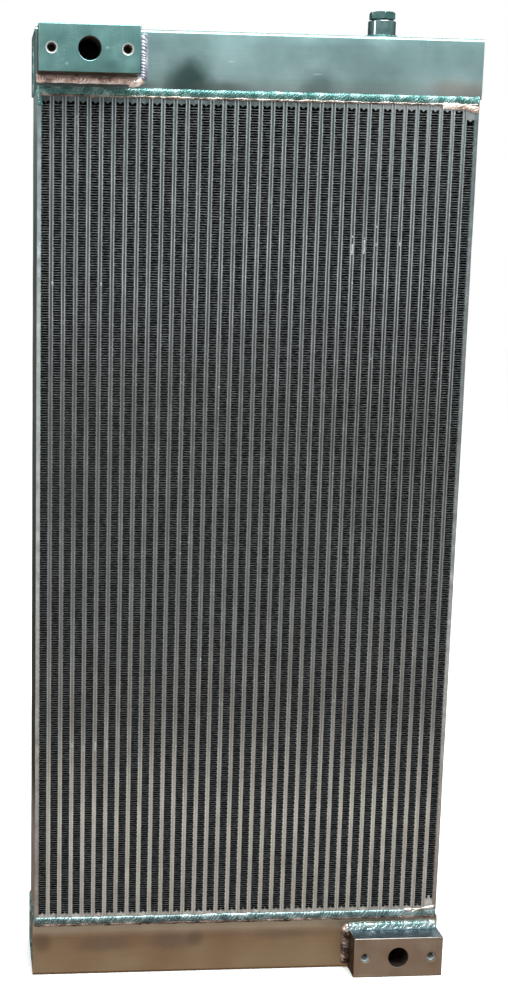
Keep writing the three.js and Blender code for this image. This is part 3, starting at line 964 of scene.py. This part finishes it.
def helix(name, place, axis, radius, height, pitch, turns, steps, inward):
    # a V ridge swept along a screw line, its wide side sunk into the wall
    base = radius + (ridgeShape["sunk"] if inward else -ridgeShape["sunk"])
    tip = radius - height if inward else radius + height
    deselect()
    bpy.ops.mesh.primitive_plane_add(size=1, location=(0, 0, 0))
    ridge = named(name)
    foot, crest = pitch * ridgeShape["foot"], pitch * ridgeShape["crest"]
    corners = [(base, -foot), (base, foot), (tip, crest), (tip, -crest)]
    order = sorted(ridge.data.vertices, key=lambda v: math.atan2(v.co.y, v.co.x))
    for vert, (x, z) in zip(order, corners):
        vert.co = (x * mm, 0, z * mm)
    choose(ridge, "FACE", lambda face: True)
    bpy.ops.mesh.delete(type="ONLY_FACE")
    leaveEdit()
    useModifier(ridge, "SCREW", angle=math.tau, screw_offset=pitch * mm, iterations=turns,
                steps=steps, render_steps=steps, use_merge_vertices=True, merge_threshold=0.01 * mm)
    choose(ridge, "EDGE", lambda edge: edge.is_boundary)
    bpy.ops.mesh.fill()
    leaveEdit()
    tidyNormals(ridge, 0.000005)
    ridge.location = Vector(place) * mm
    if axis == "Y":
        ridge.rotation_euler = (-math.pi / 2, 0, 0)
    placeHere(ridge)
    return ridge


def portBlock(name, node, port):
    piece = barStock(name, (port["left"], blockShape["face"], port["low"]),
                     (port["right"], blockShape["foot"], port["high"]))
    bevelEdges(piece, lambda edge: True, blockShape["edge"], 3)
    middle = (blockShape["face"] + blockShape["foot"]) / 2
    cutter = blockShape["cutter"]
    cutWith(piece, roundStock("boreCutter", (port["x"], middle, port["z"]), blockShape["bore"],
                              cutter, "Y"))
    holes = [(port["x"], blockShape["bore"], blockShape["boreChamfer"])]
    for side in (-1, 1):
        x = port["x"] + side * blockShape["boltSpacing"] / 2
        y = blockShape["face"] + blockShape["boltDepth"] - cutter / 2
        cutWith(piece, roundStock("boltCutter", (x, y, port["z"]), blockShape["bolt"], cutter, "Y"))
        holes.append((x, blockShape["bolt"], blockShape["boltChamfer"]))
    for x, radius, chamfer in holes:
        centre = Vector((x * mm, blockShape["face"] * mm, port["z"] * mm))
        bevelEdges(piece, lambda edge: all(
            abs((v.co - centre).length - radius * mm) < 0.15 * mm for v in edge.verts), chamfer, 2)
    turns = int((blockShape["boltDepth"] - blockShape["threadShort"]) / blockShape["threadPitch"])
    start = blockShape["face"] + blockShape["threadStart"]
    threads = [helix(f"{name}Thread{number}", (x, start, port["z"]), "Y", radius,
                     blockShape["threadHeight"], blockShape["threadPitch"], turns, 20, True)
               for number, (x, radius, chamfer) in enumerate(holes) if number]
    piece = joined(name, [piece, *threads])
    finishPiece(piece, blockMetal, [node], sharp=30, flatFrom=60)

    def pickFinish(face):
        # cut chamfers on the inlet's bolt holes, cut walls in the outlet's, painted shade on the other
        # bore walls, painted shade on downward and left-facing faces, slate blue on the outlet's top faces
        for number, (x, radius, chamfer) in enumerate(holes):
            away = math.hypot(face.center.x / mm - x, face.center.z / mm - port["z"])
            depth = face.center.y / mm - blockShape["face"]
            if away < radius + chamfer + 0.1 and 0.02 < depth <= chamfer + 0.05:
                return 1 if number and port is inletPort else 0
            if away < radius + 0.3 and depth > chamfer:
                return 1 if number and port is outletPort else 2
        # painted shade: undersides and left-facing faces take the dark brown finish
        if face.normal.z < -0.9 or face.normal.x < -0.9:
            return 3
        return 4 if face.normal.z > 0.9 and port is outletPort else 0

    paintFaces(piece, [cutMetal, boreShadeMetal, undersideShadeMetal, slateMetal], pickFinish)


portBlock("inletPortBlock", "inlet_port_block", inletPort)
portBlock("outletPortBlock", "outlet_port_block", outletPort)
print("port blocks ready")


def roundedLine(corners, radius):
    # points about 1 mm apart along straight runs joined by arcs, in mm
    corners = [Vector(c) for c in corners]
    line = [corners[0]]
    for before, corner, after in zip(corners, corners[1:], corners[2:]):
        start = corner + (before - corner).normalized() * radius
        end = corner + (after - corner).normalized() * radius
        for step in range(9):
            t = step / 8
            line.append(start * (1 - t) ** 2 + corner * 2 * t * (1 - t) + end * t ** 2)
    line.append(corners[-1])
    dense = []
    for a, b in zip(line, line[1:]):
        count = max(1, round((b - a).length))
        dense += [a + (b - a) * (i / count) for i in range(count)]
    return dense + [line[-1]]


def weldBead(name, line, out, look, seed, closed=False):
    # a grid rolled into a crowned strip along the line, with overlapping ripples like laid coins
    lengths = [0.0]
    for a, b in zip(line, line[1:]):
        lengths.append(lengths[-1] + (b - a).length)
    total = lengths[-1]
    across = look.get("across", 10)
    pitch = total / round(total / look["pitch"]) if closed else look["pitch"]
    deselect()
    bpy.ops.mesh.primitive_grid_add(
        x_subdivisions=max(8, int(total / look["step"])), y_subdivisions=across, size=1)
    bead = named(name)
    out = Vector(out)
    lean = math.radians(look.get("lean", 0))
    spot = 0
    for vert in sorted(bead.data.vertices, key=lambda v: v.co.x):
        s = (vert.co.x + 0.5) * total
        t = vert.co.y * 2
        while spot < len(lengths) - 2 and lengths[spot + 1] < s:
            spot += 1
        share = (s - lengths[spot]) / max(1e-9, lengths[spot + 1] - lengths[spot])
        point = line[spot].lerp(line[spot + 1], share)
        if closed:
            ahead = line[(spot + 1) % (len(line) - 1)] - line[spot]
        else:
            ahead = line[min(spot + 2, len(line) - 1)] - line[max(spot - 1, 0)]
        ahead.normalize()
        side = ahead.cross(out).normalized()
        up = out * math.cos(lean) + side * math.sin(lean)
        wide = side * math.cos(lean) - out * math.sin(lean)
        key = s if not closed else math.sin(s / total * math.tau) * 9
        slow = noise.noise(Vector((key / 11, seed, 0.3)))
        quick = noise.noise(Vector((key / 2.2, seed + 4, t * 1.4)))
        phase = s / pitch + look["slant"] * t - look["crescent"] * (1 - t * t) + slow * 1.2
        fraction = phase - math.floor(phase)
        crest = (1 - fraction) ** 0.7 if fraction > 0.12 else fraction / 0.12
        crown = math.cos(t * math.pi / 2) ** 0.75 if abs(t) < 0.999 else 0.0
        width = look["width"] / 2 * (1 + look["wander"] * (slow + 0.45 * quick))
        tall = look["height"] * crown * (0.72 + 0.16 * slow + look["ripple"] * (crest - 0.5))
        if not closed:
            endFade = min(1.0, s / 2.5, (total - s) / 2.5)
            tall *= max(0.0, endFade) ** 0.5
        tall = max(0.0, tall)
        sway = look.get("sway", 0.25) * (noise.noise(Vector((key / 5, seed + 9, 0.7))) + 0.5 * quick)
        vert.co = (point + wide * (t * width + sway) + up * (tall + look.get("lift", 0.0))) * mm
    if closed:
        tidyNormals(bead, 0.00005)
    choose(bead, "EDGE", lambda edge: edge.is_boundary)
    if closed:
        bpy.ops.mesh.bridge_edge_loops()
    else:
        bpy.ops.mesh.edge_face_add()
    leaveEdit()
    tidyNormals(bead, 0.000002)
    return bead


coreBead = {"width": 9.0, "height": 2.7, "step": 0.6, "pitch": 3.6, "slant": 0.8, "crescent": 0.3,
            "ripple": 0.85, "wander": 0.14, "lift": -0.1, "across": 14}
toeBead = {"width": 3.2, "height": 1.8, "step": 0.8, "pitch": 3.1, "slant": 0.3, "crescent": 0.3,
           "ripple": 0.5, "wander": 0.65, "sway": 0.8, "lift": -0.1, "across": 6}
filletBead = {"width": 9.0, "height": 3.4, "step": 0.6, "pitch": 3.2, "slant": 0.5, "crescent": 0.6,
              "ripple": 0.85, "wander": 0.12, "lean": -20, "across": 14}


def layBead(name, corners, bend, out, look, seed, material, nodes=()):
    bead = weldBead(name, roundedLine(corners, bend), out, look, seed)
    finishPiece(bead, material, nodes, sharp=50)


frontOut = (0, -1, 0)


def coreWelds():
    # the long runs between the core and the tanks, each with a ragged toe below it
    half = core["halfWidth"] - 0.3
    for place, z, drop in (("top", core["top"] - 1.0, 4.8), ("bottom", core["bottom"] + 4.0, 5.2)):
        isTop = place == "top"
        for faceName, side in (("Front", -1), ("Back", 1)):
            y = side * core["halfDepth"]
            ends = [(-half, y, z), (half, y, z)]
            if side > 0:
                ends.reverse()
            look = coreBead if isTop else {**coreBead, "ripple": 0.8, "sway": 0.8}
            look = look if side < 0 else {**look, "height": 2.5}
            layBead(f"{place}{faceName}Weld", ends, 1, (0, side, 0), look, 3.1 + side + z / 100,
                    weldMetal if isTop else greyWeldMetal, [f"{place}_{faceName.lower()}_weld"])
            layBead(f"{place}{faceName}Toe", [(x, y, z - drop) for x, y, z in ends], 1,
                    (0, side, 0), toeBead, 7.7 + side + z / 90,
                    toeMetal if isTop else sootyWeldMetal)


def blockWelds():
    y = -60.2  # a little proud of the tanks' front faces
    # inlet: a warm-tinted run under the block, a blob at its corner, a pale run up its right side
    low, high, left, right = (inletPort[key] for key in ("low", "high", "left", "right"))
    layBead("inletLowerBead", [(left - 1, y, low - 4.6), (right - 2, y, low - 4.6)], 1, frontOut,
            {**filletBead, "lean": 0, "width": 8.6, "pitch": 2.6}, 5.0,
            copperWeldMetal, ["inlet_block_weld"])
    layBead("inletCornerBead", [(right - 10, y, low - 6.5), (right - 1, y, low - 7.0),
                                (right + 5.5, y, low - 2.5)], 4, frontOut,
            {**filletBead, "lean": 0, "width": 9.5, "height": 5.5, "ripple": 0.3, "pitch": 5}, 5.5,
            copperWeldMetal)
    layBead("inletRightBead", [(right + 6.2, y, low - 4.0), (right + 6.2, y, low + 20.0),
                               (right + 5.8, y, high - 5.0)], 3, frontOut,
            {**filletBead, "lean": 10, "width": 11.5, "pitch": 3.4, "height": 4.6,
             "ripple": 0.32}, 6.2, paleWeldMetal)
    # outlet: a broad bright run on top of the block, a darker one down its left side
    low, high, left, right = (outletPort[key] for key in ("low", "high", "left", "right"))
    layBead("outletUpperBead", [(left - 5.5, y, high + 3.6), (right - 0.9, y, high + 4.8)], 1,
            frontOut, {**filletBead, "lean": -35, "width": 14.0, "height": 5.2, "pitch": 7.5,
                       "ripple": 0.4, "crescent": 1.1}, 8.4, brightWeldMetal, ["outlet_block_weld"])
    layBead("outletLeftBead", [(left - 5.0, y, low + 5.5), (left - 5.2, y, high + 2.0),
                               (left + 3, y, high + 4.5)], 4, frontOut,
            {**filletBead, "lean": -20, "width": 11.5, "height": 4.4, "wander": 0.3, "sway": 0.9,
             "pitch": 5.0}, 9.7, sootyWeldMetal)


coreWelds()
blockWelds()


endBead = {"width": 5.0, "height": 1.85, "step": 0.9, "pitch": 3.6, "slant": 0.5, "crescent": 0.4,
           "ripple": 0.5, "wander": 0.15, "lift": 0.05, "across": 8}


def endWelds():
    # a thin run all round each end cap, in the step between the cap and the shell
    for level, foot in (("top", tank["topFoot"]), ("bottom", tankEnd["foot"])):
        for side, sideName in ((-1, "Left"), (1, "Right")):
            x = side * (tank["halfWidth"] - tankEnd["setIn"])
            y = core["halfDepth"] - tank["wall"] - 1.2
            low, high = foot + 1.0, foot + tankEnd["height"] - 0.9
            corners = [(x, 0, low), (x, y, low), (x, y, high), (x, -y, high), (x, -y, low), (x, 0, low)]
            bead = weldBead(f"{level}{sideName}EndWeld", roundedLine(corners, 3), (side, 0, 0), endBead,
                            2.2 + side + foot / 60, closed=True)
            finishPiece(bead, weldMetal, sharp=50)


burrs = {  # (x, low z, high z, width): raised bright slivers where something scraped the strips
    "marks": [(112.8, 894, 906, 1.7), (126.9, 895, 911, 1.6), (141.0, 904.5, 908, 1.2),
              (169.2, 905, 909, 1.2), (112.6, 913.6, 915.6, 1.3), (126.9, 912.4, 914, 1.2),
              (141.0, 925.4, 927.4, 1.2), (-253.6, 898, 902, 1.6), (-254.2, 884, 892, 2.2),
              (-253.9, 868, 872, 2.0), (-238.4, 855, 859, 2.0), (-182.0, 854, 858, 1.8),
              (-211.5, 297, 303, 1.5), (-197.4, 292, 300, 1.4), (-183.3, 293, 305, 1.6),
              (-169.2, 294, 306, 1.6), (246.0, 92, 95, 2.2)],
    "mark": {"height": 0.9, "step": 0.4, "pitch": 2.0, "slant": 0.3, "crescent": 0.2,
             "ripple": 0.4, "wander": 0.4, "across": 6},
    "smear": {"width": 7.5, "height": 2.4, "step": 0.7, "pitch": 5.0, "slant": 0.8, "crescent": 0.2,
              "ripple": 0.6, "wander": 0.3, "sway": 0.9, "across": 12}}


def looseMetal():
    flecks = []
    y = -59.8  # their feet are in the strips, whose faces are at 60 mm
    for index, (x, low, high, width) in enumerate(burrs["marks"]):
        line = roundedLine([(x, y, low), (x + 0.3, y, (low + high) / 2), (x, y, high)], 0.5)
        flecks.append(weldBead(f"fleck{index}", line, frontOut, {**burrs["mark"], "width": width},
                               index * 1.7))
    finishPiece(joined("stripBurrs", flecks), cutMetal)
    # filler smeared over the gaps at the last channel, warm at the top and grey at the bottom
    y = -60.1
    layBead("cornerSmearTop", [(213, y, 1065.5), (240, y, 1064.5), (256, y, 1060.5)], 6, frontOut,
            burrs["smear"], 14.2, copperWeldMetal)
    layBead("cornerSmearBottom", [(214, y, 75.5), (238, y, 76.5), (255.5, y, 79.5)], 6, frontOut,
            {**burrs["smear"], "width": 5.5}, 15.8, toeMetal)
    layBead("cornerBlobTop", [(-255.4, y, 1072), (-253.6, y, 1064), (-253.4, y, 1054)], 4, frontOut,
            {**burrs["smear"], "width": 5.0, "height": 2.0}, 17.1, weldMetal)


endWelds()
looseMetal()
print("welds ready")


bossShape = {"outer": 16.0, "bore": 11.0, "chamfer": 1.0, "weldRadius": 17.2, "weldFoot": 1140.2,
             "threadHeight": 0.35, "threadLength": 11.0, "threadTurns": 6}
bossBead = {**coreBead, "width": 6.0, "height": 3.0, "pitch": 4.0, "across": 8, "lift": 0.0}


def ventBoss():
    middle = (vent["x"], vent["y"], (vent["foot"] + vent["seat"]) / 2)
    boss = roundStock("ventBoss", middle, bossShape["outer"], vent["seat"] - vent["foot"], sides=96)
    cutWith(boss, roundStock("bossCutter", middle, bossShape["bore"], 60))
    bevelEdges(boss, lambda edge: all(v.co.z > (vent["seat"] - 0.1) * mm for v in edge.verts),
               bossShape["chamfer"], 3)
    finishPiece(boss, bossMetal, ["vent_boss"], sharp=30)
    radius = bossShape["weldRadius"]
    circle = [Vector((vent["x"] + radius * math.cos(a), vent["y"] + radius * math.sin(a),
                      bossShape["weldFoot"])) for a in [i / 90 * math.tau for i in range(91)]]
    bossThread = helix("bossThread", (vent["x"], vent["y"], vent["seat"] - bossShape["threadLength"]),
                       "Z", bossShape["bore"], bossShape["threadHeight"], plugShape["pitch"],
                       bossShape["threadTurns"], 48, True)
    finishPiece(bossThread, bossMetal, sharp=30)
    ring = weldBead("bossWeld", circle, (0, 0, 1), bossBead, 12.0, closed=True)
    finishPiece(ring, weldMetal, ["boss_weld"], sharp=50)


plugShape = {"flats": 27.0, "head": 8.0, "headFoot": 1160.6, "crownDrop": 2.7, "crownFoot": 0.9,
             "shank": 9.9, "shankLow": 1147.1, "shankEnd": 0.8, "pitch": 1.5, "threadHeight": 0.7,
             "threadTurns": 7}


def ventPlug():
    corner = plugShape["flats"] / math.sqrt(3)
    middle = (vent["x"], vent["y"], plugShape["headFoot"] + plugShape["head"] / 2)
    head = roundStock("ventPlug", middle, corner, plugShape["head"], sides=6)
    # the crown: a lathe pass that takes the hexagon's corners off at top and bottom
    crown = roundStock("crownCutter", middle, corner + 0.05, plugShape["head"], sides=96)
    topZ = (plugShape["headFoot"] + plugShape["head"] - 0.1) * mm
    footZ = (plugShape["headFoot"] + 0.1) * mm
    bevelEdges(crown, lambda edge: all(v.co.z > topZ for v in edge.verts),
               plugShape["crownDrop"], 5, profile=0.55)
    bevelEdges(crown, lambda edge: all(v.co.z < footZ for v in edge.verts), plugShape["crownFoot"], 2)
    useModifier(head, "BOOLEAN", operation="INTERSECT", solver="EXACT", object=crown)
    bpy.data.objects.remove(crown)
    low, high = plugShape["shankLow"], plugShape["headFoot"] + 0.5
    shank = roundStock("plugShank", (vent["x"], vent["y"], (low + high) / 2),
                       plugShape["shank"], high - low)
    bevelEdges(shank, lambda edge: all(v.co.z < (low + 0.1) * mm for v in edge.verts),
               plugShape["shankEnd"], 2)
    thread = helix("plugThread", (vent["x"], vent["y"], low + 2.0), "Z", plugShape["shank"],
                   plugShape["threadHeight"], plugShape["pitch"], plugShape["threadTurns"], 48, False)
    plug = joined("ventPlug", [head, shank, thread])
    finishPiece(plug, plugMetal, ["vent_plug"], body="plug", sharp=30)


sealShape = {"middle": 1159.7, "outer": 13.0, "inner": 11.0, "height": 1.2, "edge": 0.35}


def plugSeal():
    middle = (vent["x"], vent["y"], sealShape["middle"])
    seal = roundStock("plugSeal", middle, sealShape["outer"], sealShape["height"], sides=96)
    cutWith(seal, roundStock("sealCutter", middle, sealShape["inner"], 10))
    bevelEdges(seal, lambda edge: abs(edge.verts[0].co.z - edge.verts[1].co.z) < 0.01 * mm,
               sealShape["edge"], 3)
    finishPiece(seal, rubber, ["plug_seal"], body="seal_ring", sharp=50)


ventBoss()
ventPlug()
plugSeal()
print("boss and plug ready")
